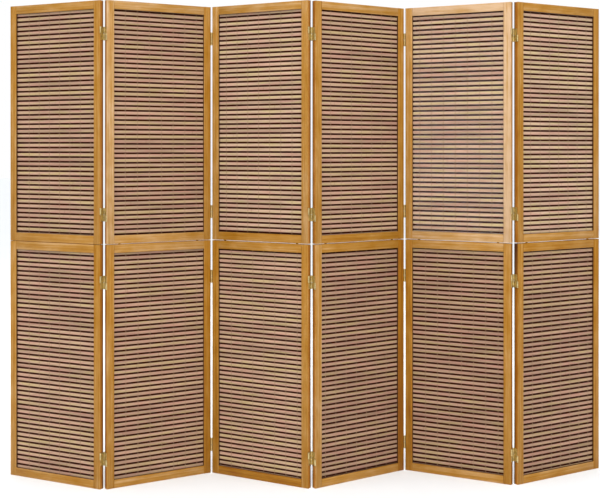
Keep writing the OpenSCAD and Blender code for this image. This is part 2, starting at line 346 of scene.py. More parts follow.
def lacquered_pine(settings):
    """Pine boards, planed, stained to honey and sprayed with satin lacquer. The stain takes
    unevenly, so long pale and dark streaks follow the grain. Painted shade darkens the inner edges
    beside the mat, the rims where a fold closes and the listed shade runs down some outer edges.
    The outer edges get a warm painted shade and stay duller, and the lacquer gives a soft gloss."""
    material, tree = new_material("lacquered pine")
    grain = add_node(tree, "ShaderNodeAttribute", attribute_name="grain", out="Vector")
    tone, pooled, soaked = (
        add_node(tree, "ShaderNodeAttribute", attribute_name=name, out="Fac")
        for name in BOARD_LAYERS)
    level = add_node(
        tree, "ShaderNodeMath", {0: tone, 1: TONE_WEIGHT, 2: TONE_START}, operation="MULTIPLY_ADD")
    for sizes, weight in PINE_STREAKS:
        streaks = patches(tree, grain, sizes)
        level = add_node(
            tree, "ShaderNodeMath", {0: streaks, 1: weight, 2: level}, operation="MULTIPLY_ADD")
    stains = (settings.deep, settings.dark, settings.honey, settings.light, settings.pale)
    wood = add_node(
        tree, "ShaderNodeValToRGB", {"Fac": level}, stops=zip(STAIN_STEPS, stains))
    fibres = patches(tree, grain, (45, 0.8, 0.8), 2)
    fine = add_node(tree, "ShaderNodeValToRGB", {"Fac": fibres}, stops=[
        (0.3, (0.8, 0.76, 0.7, 1)), (0.55, WHITE)])
    # After the fibres: painted shade, then the outer edges' warm painted shade
    for much, above, way in ((1.0, fine, MULTIPLY), (pooled, settings.pool, BLEND),
                             (soaked, settings.outer_edge_shade, MULTIPLY)):
        wood = add_node(
            tree, "ShaderNodeMix", {MUCH: much, BELOW: wood, ABOVE: above}, MIXED, **way)
    gloss = 0.38
    for rougher, weight in ((fibres, 0.15), (soaked, 0.4)):
        gloss = add_node(
            tree, "ShaderNodeMath", {0: rougher, 1: weight, 2: gloss}, operation="MULTIPLY_ADD")
    end_material(
        tree, {"Base Color": wood, "Roughness": gloss, "Specular IOR Level": 0.2},
        fibres, 0.06 * MM)
    return material


def split_bamboo(settings):
    """Bamboo split and planed into flat slats, left bare. Each mat has its own tone, partly the
    bamboo's and partly painted light and shade, so that in most panels the lower mat is darker than
    the upper one. Each slat has its own tone, its fibres run its whole length, a darker ring shows
    where a joint of the cane was, and painted shade darkens the slat's edges beside the sticks."""
    material, tree = new_material("split bamboo")
    grain = add_node(tree, "ShaderNodeAttribute", attribute_name="grain", out="Vector")
    tone, cast = (
        add_node(tree, "ShaderNodeAttribute", attribute_name=name, out="Fac")
        for name in ("tone", "cast"))
    start = add_node(tree, "ShaderNodeMath", {0: tone, 1: CANE_RUN}, operation="MULTIPLY")
    start = add_node(tree, "ShaderNodeCombineXYZ", {"X": start, "Y": tone})
    lie = add_node(tree, "ShaderNodeVectorMath", {0: grain, 1: start}, operation="ADD")
    hue = add_node(tree, "ShaderNodeMath", {0: tone, 1: 0.12, 2: -0.06}, operation="MULTIPLY_ADD")
    patchy = patches(tree, lie, (85, 9, 9))
    hue = add_node(tree, "ShaderNodeMath", {0: patchy, 1: hue}, operation="ADD")
    cane = add_node(tree, "ShaderNodeValToRGB", {"Fac": hue}, stops=[
        (0.34, settings.pink), (0.5, settings.tan), (0.66, settings.yellow)])
    patchy = patches(tree, lie, (220, 15, 15))
    depth = add_node(
        tree, "ShaderNodeMath", {0: tone, 1: 0.2, 2: patchy}, operation="MULTIPLY_ADD")
    fibres = patches(tree, lie, (40, 0.6, 0.6), 2)
    for level, stops in (
            (depth, ((0.38, (0.69, 0.68, 0.67, 1)), (0.72, WHITE))),
            (cast, ((0.0, (0.73, 0.67, 0.65, 1)), (0.35, (0.83, 0.76, 0.73, 1)), (1.0, WHITE))),
            (fibres, ((0.25, (0.8, 0.77, 0.74, 1)), (0.6, WHITE)))):
        shade = add_node(tree, "ShaderNodeValToRGB", {"Fac": level}, stops=stops)
        cane = add_node(
            tree, "ShaderNodeMix", {MUCH: 1.0, BELOW: cane, ABOVE: shade}, MIXED, **MULTIPLY)
    ring = add_node(tree, "ShaderNodeSeparateXYZ", {0: lie}, "X")
    for operation, value in (
            ("PINGPONG", CANE_HALF), ("LESS_THAN", RING_HALF), ("MULTIPLY", 0.45)):
        ring = add_node(tree, "ShaderNodeMath", {0: ring, 1: value}, operation=operation)
    # Painted shade in the crevice beside each stick, on the slat's rounded edges
    across = add_node(tree, "ShaderNodeSeparateXYZ", {0: grain}, "Z")
    across = add_node(tree, "ShaderNodeMath", {0: across}, operation="ABSOLUTE")
    edge = add_node(tree, "ShaderNodeMapRange", {
        "Value": across, "From Min": CREVICE_SHADE_START, "From Max": CREVICE_SHADE_FULL})
    for much, above in ((ring, settings.ring), (edge, settings.edge)):
        cane = add_node(
            tree, "ShaderNodeMix", {MUCH: much, BELOW: cane, ABOVE: above}, MIXED, **BLEND)
    end_material(
        tree, {"Base Color": cane, "Roughness": 0.6, "Specular IOR Level": 0.25},
        fibres, 0.05 * MM)
    return material


def stained_stick(settings):
    """Round bamboo sticks steeped in dark stain. They are nearly black with a faint brown sheen."""
    material, tree = new_material("dark stained bamboo")
    grain = add_node(tree, "ShaderNodeAttribute", attribute_name="grain", out="Vector")
    fibres = patches(tree, grain, (50, 0.8, 0.8), 2)
    stick = add_node(tree, "ShaderNodeValToRGB", {"Fac": fibres}, stops=[
        (0.3, shaded(settings.stick, 0.6)), (0.7, shaded(settings.stick, 1.5))])
    end_material(
        tree, {"Base Color": stick, "Roughness": 0.7, "Specular IOR Level": 0.04},
        fibres, 0.06 * MM, 0.6)
    return material


def cotton_thread(settings):
    """Unbleached cotton, spun and plied, with a matt, slightly hairy face. Each turn of the ply
    shows as a soft dark diagonal of painted shade in the groove between the plies. Where the thread
    lies on a slat it is darker with painted shade."""
    material, tree = new_material("plied cotton")
    place = add_node(tree, "ShaderNodeTexCoord", out="Object")
    sunk = add_node(tree, "ShaderNodeAttribute", attribute_name="sunk", out="Fac")
    ply = add_node(
        tree, "ShaderNodeTexWave", {"Vector": place, "Scale": PLY_SCALE, "Distortion": 0.6},
        out="Fac", wave_type="BANDS", bands_direction="DIAGONAL")
    thread = add_node(tree, "ShaderNodeValToRGB", {"Fac": ply}, stops=[
        (0.0, shaded(settings.thread, 0.7)), (0.5, settings.thread)])
    thread_shade = add_node(tree, "ShaderNodeValToRGB", {"Fac": sunk}, stops=[
        (0.0, WHITE), (1.0, (0.72, 0.7, 0.68, 1))])
    thread = add_node(
        tree, "ShaderNodeMix", {MUCH: 1.0, BELOW: thread, ABOVE: thread_shade}, MIXED, **MULTIPLY)
    end_material(
        tree, {"Base Color": thread, "Roughness": 0.9, "Sheen Weight": 0.15}, ply, 0.1 * MM)
    return material


def turned_beech():
    """Fluted beech dowel, seen only as a spot in the seam. Its near-black colour is painted shade,
    for the shadow in the seam around it.
    """
    material, tree = new_material("beech dowel")
    place = add_node(tree, "ShaderNodeTexCoord", out="Object")
    fibres = patches(tree, place, (0.8, 0.8, 30), 2)
    wood = add_node(tree, "ShaderNodeValToRGB", {"Fac": fibres}, stops=[
        (0.3, colour("1C1009")), (0.7, colour("352214"))])
    end_material(tree, {"Base Color": wood, "Roughness": 0.75}, fibres, 0.1 * MM)
    return material


def plated_brass(name, tint, roughness):
    """Stamped steel with brass plating. The plating is tumbled, which leaves fine scuffs, and its
    colour is darker and its surface rougher in cloudy patches."""
    material, tree = new_material(name)
    place = add_node(tree, "ShaderNodeTexCoord", out="Object")
    clouds = patches(tree, place, (6, 6, 6))
    scuffs = patches(tree, place, (0.5, 0.5, 3), 2)
    metal = add_node(tree, "ShaderNodeValToRGB", {"Fac": clouds}, stops=[
        (0.35, shaded(tint, 0.62)), (0.65, tint)])
    worn = add_node(
        tree, "ShaderNodeMath", {0: clouds, 1: -0.25, 2: roughness + 0.13},
        operation="MULTIPLY_ADD")
    end_material(
        tree, {"Base Color": metal, "Roughness": worn, "Metallic": 1.0}, scuffs, 0.02 * MM, 0.4)
    return material


def painted_floor(settings):
    """Floor painted in matt near-white. Broad, hardly visible clouds keep it from looking dead."""
    material, tree = new_material("matt painted floor")
    place = add_node(tree, "ShaderNodeTexCoord", out="Object")
    clouds = patches(tree, place, (900, 900, 900))
    pale = add_node(tree, "ShaderNodeValToRGB", {"Fac": clouds}, stops=[
        (0.3, shaded(settings.floor, 0.985)), (0.7, settings.floor)])
    end_material(tree, {"Base Color": pale, "Roughness": 0.8})
    return material


# ---------------------------------------------------------------- stiles and rails

# Attributes of a board's vertices beside its grain: its tone, its painted shade and its outer
# edges, which get a warm painted shade and a duller lacquer
BOARD_LAYERS = ("tone", "pooled", "soaked")
ARC_STEPS = 4
# How near to a board's inner or outer edge a point belongs to that edge
SKIN = 0.4 * MM
# How far the painted shade of a fold's rim reaches round the arris: onto the board's face, and
# onto its edge as a share of the arris's rounding
RIM_SHADE_REACH, RIM_SHADE_TURN = 1.1 * MM, 1.5
# How far a tenon stays inside the rail's outer edge
TENON_SHOULDER = 0.5 * MM
# How pale a board is, from -1 to 1, where it stands out from the others: kind, then panel, then
# number, counted from the bottom and then from the left. Part of these tones is the boards' own
# stain and part is painted light and shade, as on panel 6's right stiles
BOARD_TONES = {
    "stiles": {
        1: {1: -0.2, 2: -0.15},
        2: {1: -0.4, 2: 0.45, 3: -0.2},
        3: {0: -0.38, 3: 0.1},
        4: {1: -0.82, 3: -0.22},
        5: {0: -0.46, 1: -0.15, 2: 0.1, 3: 0.85},
        6: {0: -0.25, 1: -0.45, 2: -0.26, 3: -0.15}},
    "rails": {
        2: {1: 0.15, 2: 0.2, 3: 0.22},
        3: {0: -0.6, 1: -0.15, 2: -0.15},
        4: {1: -0.2, 2: -0.2},
        5: {1: 0.05, 2: 0.45, 3: 0.9},
        6: {1: -0.35}}}
# How far the tones of the other boards stray
TONE_STRAY = 0.12
# Side in metres of the block of wood in which each board's grain is taken from its own place
WOOD_BLOCK = 50
# How much the foot of a panel's upper frame is trimmed, so that the seam under it stands open
SEAM_TRIMS = {4: 1.3 * MM, 5: 0.5 * MM, 6: 0.5 * MM}
# How far painted shade reaches down the outer edge of a stile from its top: panel and number
EDGE_SHADE_RUNS = {(6, 0): 190 * MM}


def boards_of(panel, kind):
    """The boxes of a panel's boards of one kind, with the foot of the upper frame trimmed."""
    foot = solids_of(panel, "stiles")[2].low.z
    for low, high in solids_of(panel, kind):
        if abs(low.z - foot) < SKIN:
            low.z += SEAM_TRIMS.get(panel.number, 0)
        yield low, high


def board_outline(width, thickness, radius, settings, closed=None):
    """Section of a board, with rounded edges and its groove at the far side of its width. closed
    is the face, 0 in front and 1 behind, that lies on the closed side of the board's fold."""
    corners = [
        (radius, radius, 180), (width - radius, radius, 270),
        (width - radius, thickness - radius, 0), (radius, thickness - radius, 90)]
    outline = []
    for across, through, start in corners:
        outline += quarter_circle(across, through, radius, start, ARC_STEPS)
        if start == 270:
            floor = width - settings.groove_depth
            near = (thickness - settings.groove_width) / 2
            far = (thickness + settings.groove_width) / 2
            outline += [(width, near), (floor, near), (floor, far), (width, far)]
    # The rim's painted shade fades out towards this point on the outer edge
    if closed is not None:
        outline.append((0, thickness - settings.rim if closed else settings.rim))
    return outline


def add_board(shape, outline, run, ease, place, tone, offset, rim=None, stained=0):
    """Adds a board of length run. place puts a point's run, width and thickness in the panel. rim
    is the place of a band of painted shade on the outer edge, from its low to its high end in the
    thickness. Over the length stained, down from the board's top, the painted shade fades across
    the whole edge."""
    grain = shape.verts.layers.float_vector["grain"]
    toned, pooled, soaked = (shape.verts.layers.float[name] for name in BOARD_LAYERS)
    inner = max(across for across, through in outline)
    middle = Vector(np.mean(outline, axis=0))
    stations = [(0, ease), (ease, 0), (run - ease, 0), (run, ease)]
    if stained:
        stations.insert(2, (run - stained, 0))
    rings = []
    for along, inset in stations:
        ring = []
        for point in outline:
            out = Vector(point) - middle
            across, through = middle + out * (1 - inset / out.length)
            vert = shape.verts.new(place(along, across, through))
            vert[grain] = offset + Vector((along, across, through))
            vert[toned] = tone
            # Painted shade: the inner edge beside the mat, the fold's rim and the shade run
            dark = point[0] > inner - SKIN or (
                rim and point[0] < RIM_SHADE_REACH and rim[0] < point[1] < rim[1]) or (
                stained and point[0] < SKIN and along > run - stained)
            vert[pooled] = 1.0 if dark else 0.0
            # The outer edge, which gets a warm painted shade and a duller lacquer
            vert[soaked] = 1.0 if point[0] < SKIN else 0.0
            ring.append(vert)
        rings.append(ring)
    for low, high in zip(rings, rings[1:]):
        for i, vert in enumerate(low):
            shape.faces.new((low[i - 1], vert, high[i], high[i - 1]))
    shape.faces.new(rings[0])
    shape.faces.new(rings[-1])


def board_shape():
    shape = bmesh.new()
    shape.verts.layers.float_vector.new("grain")
    for name in BOARD_LAYERS:
        shape.verts.layers.float.new(name)
    return shape


def board_look(panel, kind, number, draws):
    """Tone of a board, and the place in the wood that its grain is taken from."""
    stray = draws.uniform(-TONE_STRAY, TONE_STRAY)
    tone = BOARD_TONES[kind].get(panel.number, {}).get(number, stray)
    return tone, Vector([draws.uniform(0, WOOD_BLOCK) for axis in range(3)])


def make_stiles(panel, settings, material):
    draws = random.Random(SEEDS["stiles"] + panel.number)
    shape = board_shape()
    radius = settings.stile_radius
    for number, (low, high) in enumerate(boards_of(panel, "stiles")):
        size = high - low
        left = high.x < 0
        outer, inward = (low.x, 1) if left else (high.x, -1)
        fold = panel.number - left
        closed = fold % 2 if 0 < fold < len(PANELS) else None
        outline = board_outline(size.x, size.y, radius, settings, closed)
        # Where the rim's painted shade lies across the outer edge's thickness
        start = size.y - RIM_SHADE_TURN * radius if closed else -size.y
        rim = None if closed is None else (start, start + size.y + RIM_SHADE_TURN * radius)

        def place(along, across, through):
            return Vector((outer + inward * across, low.y + through, low.z + along))

        look = board_look(panel, "stiles", number, draws)
        # Length of painted shade down the top of the outer edge, where one is listed
        stained = EDGE_SHADE_RUNS.get((panel.number, number), 0)
        add_board(shape, outline, size.z, settings.end_ease, place, *look, rim, stained)
    shape.transform(panel.place)
    piece = finish_mesh(f"{panel.body}_stile_boards", shape, material)
    place_piece(piece, panel, "stiles")


def make_rails(panel, settings, material):
    draws = random.Random(SEEDS["rails"] + panel.number)
    stiles = solids_of(panel, "stiles")
    start = min(s.high.x for s in stiles)
    run = max(s.low.x for s in stiles) - start
    shape = board_shape()
    for number, (low, high) in enumerate(boards_of(panel, "rails")):
        size = high - low
        outline = board_outline(size.z, size.y, settings.rail_radius, settings)
        outer, inward = (low.z, 1) if number % 2 == 0 else (high.z, -1)

        def place(along, across, through):
            return Vector((start + along, low.y + through, outer + inward * across))

        look = board_look(panel, "rails", number, draws)
        add_board(shape, outline, run, settings.end_ease, place, *look)
        top, deep = TENON_SHOULDER, size.z - settings.groove_depth
        half = settings.groove_width / 2 - settings.tenon_clear
        near, far = size.y / 2 - half, size.y / 2 + half
        tenon = [(top, near), (deep, near), (deep, far), (top, far)]
        for begin, reach in ((low.x - start, start - low.x), (run, high.x - start - run)):
            def place_tenon(along, across, through, begin=begin):
                return place(begin + along, across, through)

            add_board(shape, tenon, reach, settings.tenon_clear, place_tenon, *look)
    shape.transform(panel.place)
    piece = finish_mesh(f"{panel.body}_rail_boards", shape, material)
    place_piece(piece, panel, "rails")


# ---------------------------------------------------------------- trees for what repeats

# Vertices along a slat or stick, and round a stick
ROD_RINGS, STICK_SIDES = 6, 10
# About how many bends a slat or stick takes in a metre
BENDS = 9.0
# How far a strand moves aside where it swaps sides, as a share of its width
SIDESTEP = 0.3


def new_tree(name, sizes=(), **others):
    """Empty Geometry Nodes tree with a geometry in and out. Its inputs are the named sizes and
    others, a seed and a material."""
    tree = bpy.data.node_groups.new(name, "GeometryNodeTree")
    tree.interface.new_socket("Geometry", in_out="OUTPUT", socket_type="NodeSocketGeometry")
    sockets = {"Geometry": "Geometry", **dict.fromkeys(sizes, "Float"), **others}
    for socket, kind in {**sockets, "Seed": "Int", "Material": "Material"}.items():
        tree.interface.new_socket(socket, in_out="INPUT", socket_type="NodeSocket" + kind)
    return tree, tree.nodes.new("NodeGroupInput").outputs


def put_on_points(tree, given, piece):
    """Real copies of a piece on each point, with the point's turn and stretch and a random tone."""
    turn, stretch = (
        add_node(
            tree, "GeometryNodeInputNamedAttribute", {"Name": name}, data_type="FLOAT_VECTOR")
        for name in ("turn", "stretch"))
    copies = add_node(tree, "GeometryNodeInstanceOnPoints", {
        "Points": given["Geometry"], "Instance": piece, "Rotation": turn, "Scale": stretch})
    tone = add_node(
        tree, "FunctionNodeRandomValue", {"Seed": given["Seed"]}, 1, data_type="FLOAT")
    toned = add_node(
        tree, "GeometryNodeStoreNamedAttribute",
        {"Geometry": copies, "Name": "tone", "Value": tone}, data_type="FLOAT", domain="INSTANCE")
    return add_node(tree, "GeometryNodeRealizeInstances", {"Geometry": toned})


def end_tree(tree, given, geometry):
    """Realizes any instances, sets the material and closes the tree."""
    real = add_node(tree, "GeometryNodeRealizeInstances", {"Geometry": geometry})
    done = add_node(
        tree, "GeometryNodeSetMaterial", {"Geometry": real, "Material": given["Material"]})
    add_node(tree, "NodeGroupOutput", {"Geometry": done})
    return tree


def rod_tree(name, is_round):
    """Slats or sticks: straight rods along X, one on each point, which stray a little."""
    tree, given = new_tree(name, ("Length", "Height", "Thickness", "Edge", "Waviness"))
    ends = []
    for share in (-0.5, 0.5):
        end = add_node(
            tree, "ShaderNodeMath", {0: given["Length"], 1: share}, operation="MULTIPLY")
        ends.append(add_node(tree, "ShaderNodeCombineXYZ", {"X": end}))
    line = add_node(tree, "GeometryNodeCurvePrimitiveLine", {"Start": ends[0], "End": ends[1]})
    spine = add_node(tree, "GeometryNodeResampleCurve", {"Curve": line, "Count": ROD_RINGS})
    if is_round:
        radius = add_node(
            tree, "ShaderNodeMath", {0: given["Height"], 1: 0.5}, operation="MULTIPLY")
        section = add_node(
            tree, "GeometryNodeCurvePrimitiveCircle",
            {"Resolution": STICK_SIDES, "Radius": radius})
    else:
        flat = add_node(tree, "GeometryNodeCurvePrimitiveQuadrilateral", {
            "Width": given["Thickness"], "Height": given["Height"]})
        section = add_node(
            tree, "GeometryNodeFilletCurve", {"Curve": flat, "Count": 2, "Radius": given["Edge"]},
            mode="POLY")
    rod = add_node(tree, "GeometryNodeCurveToMesh", {
        "Curve": spine, "Profile Curve": section, "Fill Caps": True})
    place = add_node(tree, "GeometryNodeInputPosition")
    rod = add_node(
        tree, "GeometryNodeStoreNamedAttribute",
        {"Geometry": rod, "Name": "grain", "Value": place},
        data_type="FLOAT_VECTOR", domain="POINT")
    rods = put_on_points(tree, given, rod)
    noise = add_node(
        tree, "ShaderNodeTexNoise", {"Vector": place, "Scale": BENDS, "Detail": 1.0}, "Color")
    centred = add_node(
        tree, "ShaderNodeVectorMath", {0: noise, 1: (0.5, 0.5, 0.5)}, operation="SUBTRACT")
    stray = add_node(
        tree, "ShaderNodeVectorMath", {0: centred, "Scale": given["Waviness"]}, operation="SCALE")
    moved = add_node(tree, "GeometryNodeSetPosition", {"Geometry": rods, "Offset": stray})
    return end_tree(tree, given, moved)


def thread_tree():
    """Warp threads. Each is two strands that swap sides between a stick and a slat, so that one
    passes in front of every stick and the other in front of every slat."""
    sizes = (
        "Length", "Width", "Thickness", "Heading", "Stick half", "Slat half", "Swap",
        "Swap length")
    tree, given = new_tree("Warp threads", sizes, Rings="Int")
    top = add_node(tree, "ShaderNodeCombineXYZ", {"Z": given["Length"]})
    line = add_node(tree, "GeometryNodeCurvePrimitiveLine", {"End": top})
    spine = add_node(tree, "GeometryNodeResampleCurve", {"Curve": line, "Count": given["Rings"]})
    section = add_node(tree, "GeometryNodeCurvePrimitiveQuadrilateral", {
        "Width": given["Width"], "Height": given["Thickness"]})
    strand = add_node(tree, "GeometryNodeCurveToMesh", {
        "Curve": spine, "Profile Curve": section, "Fill Caps": True})
    strands = put_on_points(tree, given, strand)
    place = add_node(tree, "GeometryNodeInputPosition")
    weave = add_node(
        tree, "GeometryNodeInputNamedAttribute", {"Name": "weave"}, data_type="FLOAT_VECTOR")
    known = {name: given[name] for name in sizes}
    for name, vector, axis in (
            ("height", place, "Z"), ("first", weave, "X"), ("pitch", weave, "Y"),
            ("side", weave, "Z")):
        known[name] = add_node(tree, "ShaderNodeSeparateXYZ", {0: vector}, axis)
    # The swing is 1 in front of a stick, -1 in front of a slat, and between them where the
    # strands swap. Each line names its result, the operation and its terms.
    for name, operation, *terms in (
            ("rise", "SUBTRACT", "height", "first"),
            ("half pitch", "MULTIPLY", "pitch", 0.5),
            ("from stick", "PINGPONG", "rise", "half pitch"),
            ("to swap", "SUBTRACT", "Swap", "from stick"),
            ("swing", "DIVIDE", "to swap", "Swap length"),
            ("swing", "MINIMUM", "swing", 1.0),
            ("swing", "MAXIMUM", "swing", -1.0),
            ("over", "MAXIMUM", "swing", 0.0),
            ("over", "MULTIPLY", "over", "Stick half"),
            ("under", "MINIMUM", "swing", 0.0),
            # where the strand lies on a slat it gets painted shade
            ("sunk", "MULTIPLY", "under", -1.0),
            ("under", "MULTIPLY", "under", "Slat half"),
            ("out", "ADD", "over", "under"),
            ("out", "MULTIPLY", "out", "side"),
            ("aside", "ABSOLUTE", "swing"),
            ("aside", "SUBTRACT", 1.0, "aside"),
            ("aside", "MULTIPLY", "aside", "Width"),
            ("aside", "MULTIPLY", "aside", SIDESTEP),
            ("aside", "MULTIPLY", "aside", "side")):
        terms = [known.get(term, term) for term in terms]
        known[name] = add_node(tree, "ShaderNodeMath", dict(enumerate(terms)), operation=operation)
    # Stores where the strand gets painted shade, on a slat
    strands = add_node(
        tree, "GeometryNodeStoreNamedAttribute",
        {"Geometry": strands, "Name": "sunk", "Value": known["sunk"]},
        data_type="FLOAT", domain="POINT")
    offset = add_node(tree, "ShaderNodeCombineXYZ", {"X": known["aside"], "Y": known["out"]})
    turned = add_node(
        tree, "ShaderNodeVectorRotate", {"Vector": offset, "Angle": given["Heading"]},
        rotation_type="Z_AXIS")
    moved = add_node(tree, "GeometryNodeSetPosition", {"Geometry": strands, "Offset": turned})
    return end_tree(tree, given, moved)


def copy_tree():
    """Copies of a finished piece, one on each point."""
    tree, given = new_tree("Hardware", Piece="Object")
    piece = add_node(tree, "GeometryNodeObjectInfo", {"Object": given["Piece"]}, "Geometry")
    return end_tree(tree, given, put_on_points(tree, given, piece))


def evaluated_mesh(piece):
    """A plain mesh of a piece with its modifiers, which are then removed."""
    graph = bpy.context.evaluated_depsgraph_get()
    made = bpy.data.meshes.new_from_object(
        piece.evaluated_get(graph), preserve_all_data_layers=True, depsgraph=graph)
    piece.modifiers.clear()
    piece.data = made
    return made


def grow(name, tree, points, values, crisp=CRISP):
    """Runs a tree on points, each a dict of attribute values with its place, and keeps the mesh."""
    mesh = bpy.data.meshes.new(name)
    mesh.from_pydata([point["place"] for point in points], [], [])
    for key in points[0]:
        if key != "place":
            layer = mesh.attributes.new(key, "FLOAT_VECTOR", "POINT")
            layer.data.foreach_set("vector", [value for point in points for value in point[key]])
    piece = link_object(name, mesh)
    modifier = piece.modifiers.new("Build", "NODES")
    modifier.node_group = tree
    for item in tree.interface.items_tree:
        if item.in_out == "INPUT" and item.name in values:
            modifier[item.identifier] = values[item.name]
    smooth_mesh(evaluated_mesh(piece), crisp)
    return piece


def point_at(panel, place, flip=0.0, spin=0.0, stretch=(1, 1, 1), **extra):
    """A point for grow(): a place in the panel's frame, turned about X by flip and about Z by
    spin."""
    turn = (flip, 0.0, panel.heading + spin)
    return {"place": panel.place @ Vector(place), "turn": turn, "stretch": stretch, **extra}


# ---------------------------------------------------------------- mats

# How pale each panel's lower and upper mat is, from 0 to 1. This is partly the bamboo's own tone
# and partly painted light and shade, the upper mats getting more light
MAT_TONES_AND_SHADES = {
    1: (0.62, 0.6), 2: (0.46, 0.47), 3: (0.68, 1), 4: (0.12, 0.6), 5: (0.1, 1), 6: (0.12, 1)}
# Distance between the rings of vertices of a strand
RING_STEP = 2 * MM
# How far outside a stick the strands swap sides, and over what length
SWAP_OUT, SWAP_LENGTH = 0.15 * MM, 1.2 * MM


def make_slats(panel, settings, tree, material):
    solids = solids_of(panel, "slats")
    full = max(solid_size(s).z for s in solids)
    size = solid_size(solids[0])
    points = []
    for solid in solids:
        # The mat's tone, partly painted light and shade
        cast = MAT_TONES_AND_SHADES[panel.number][solid.low.z > cad_box[1][2] / 2]
        stretch = (1, 1, solid_size(solid).z / full)
        points.append(point_at(panel, solid_middle(solid), stretch=stretch, cast=(cast,) * 3))
    piece = grow(f"{panel.body}_woven_slats", tree, points, {
        "Length": size.x, "Height": full + settings.slat_tight, "Thickness": size.y,
        "Edge": settings.slat_edge, "Waviness": settings.waviness,
        "Seed": SEEDS["slats"] + panel.number, "Material": material})
    place_piece(piece, panel, "slats")


def make_sticks(panel, settings, tree, material):
    solids = solids_of(panel, "sticks")
    size = solid_size(solids[0])
    points = [point_at(panel, solid_middle(s)) for s in solids]
    piece = grow(f"{panel.body}_woven_sticks", tree, points, {
        "Length": size.x, "Height": size.y + settings.stick_tight, "Waviness": settings.waviness,
        "Seed": SEEDS["sticks"] + panel.number, "Material": material}, crisp=STICK_CRISP)
    place_piece(piece, panel, "sticks")


def stick_row(panel, low, high):
    """Height of the lowest stick between two heights, and the distance from stick to stick."""
    heights = [solid_middle(s).z for s in solids_of(panel, "sticks")]
    heights = sorted(z for z in heights if low < z < high)
    return heights[0], (heights[-1] - heights[0]) / (len(heights) - 1)


def make_threads(panel, settings, tree, material):
    stick, slat = (solid_size(solids_of(panel, kind)[0]) for kind in ("sticks", "slats"))
    threads = solids_of(panel, "threads")
    thin = settings.thread_thickness
    points = []
    for solid in threads:
        first, pitch = stick_row(panel, solid.low.z, solid.high.z)
        middle = solid_middle(solid)
        foot = (middle.x, middle.y, solid.low.z + thin)
        points += [point_at(panel, foot, weave=(first, pitch, side)) for side in (-1, 1)]
    run = solid_size(threads[0]).z - 2 * thin
    piece = grow(f"{panel.body}_woven_threads", tree, points, {
        "Length": run, "Width": settings.thread_width, "Thickness": thin,
        "Heading": panel.heading, "Stick half": (stick.y + thin) / 2,
        "Slat half": (slat.y + thin) / 2, "Swap": stick.y / 2 + SWAP_OUT,
        "Swap length": SWAP_LENGTH, "Rings": round(run / RING_STEP),
        "Seed": SEEDS["threads"] + panel.number, "Material": material})
    place_piece(piece, panel, "threads")


# ---------------------------------------------------------------- hinges

BARREL_STEPS, PIN_STEPS = 24, 20
# How far the ends of a knuckle are eased, and how far its strap runs into the leaf
KNUCKLE_EASE, STRAP_LAP = 0.25 * MM, 1 * MM
LEAF_CORNER = 2 * MM
# Section of a pin's riveted dome, as shares of the head's radius and of the dome's height
DOME = ((0, 0), (0.55, 0.04), (0.85, 0.3), (1, 0.65), (1, 1))
DOME_HEIGHT = 0.8 * MM
# Room for a pin in its knuckle
PIN_ROOM = 0.05 * MM
# Length of a screw's tip, the half width and the depth of its slot
TIP, SLOT_HALF, SLOT_DEPTH = 2.5 * MM, 0.4 * MM, 0.6 * MM
# Turn in radians from one screw's slot to the next one's
SLOT_TURN = 2.4


def add_prism(shape, outline, low, high, axes):
    """Extrudes an outline from low to high. axes puts (first, second, height) in order X, Y, Z."""
    rings = []
    for height in (low, high):
        values = [(first, second, height) for first, second in outline]
        rings.append([shape.verts.new([value[axis] for axis in axes]) for value in values])
    for i in range(len(outline)):
        shape.faces.new((rings[0][i - 1], rings[0][i], rings[1][i], rings[1][i - 1]))
    shape.faces.new(rings[0])
    shape.faces.new(rings[1])


def rounded_box(first, second, radius, steps=3):
    """Outline from (-first, -second) to (first, second) with round corners."""
    outline = []
    for side_a, side_b, start in ((1, 1, 0), (-1, 1, 90), (-1, -1, 180), (1, -1, 270)):
        outline += quarter_circle(
            side_a * (first - radius), side_b * (second - radius), radius, start, steps)
    return outline


def add_lathe(shape, profile, steps, middle=(0, 0)):
    """Turns a profile of (radius, height) points about Z. A radius of 0 closes the end."""
    rings = []
    for radius, height in profile:
        angles = [2 * math.pi * step / steps for step in range(steps if radius else 1)]
        rings.append([
            shape.verts.new((
                middle[0] + radius * math.cos(a), middle[1] + radius * math.sin(a), height))
            for a in angles])
    for low, high in zip(rings, rings[1:]):
        for i in range(steps):
            corners = [ring[j] for ring, turns in ((low, (i - 1, i)), (high, (i, i - 1)))
                       for j in (turns if len(ring) > 1 else (0,))]
            shape.faces.new(corners)
    return rings


def add_knuckle(shape, settings, side, low, run):
    """A rolled knuckle: a short tube with eased ends."""
    bore, barrel, ease = settings.bore, settings.barrel, KNUCKLE_EASE
    profile = [
        (bore, low), (barrel - ease, low), (barrel, low + ease),
        (barrel, low + run - ease), (barrel - ease, low + run), (bore, low + run)]
    rings = add_lathe(shape, profile, BARREL_STEPS, (0, side * settings.axis_out))
    for i in range(BARREL_STEPS):
        shape.faces.new((rings[-1][i - 1], rings[-1][i], rings[0][i], rings[0][i - 1]))


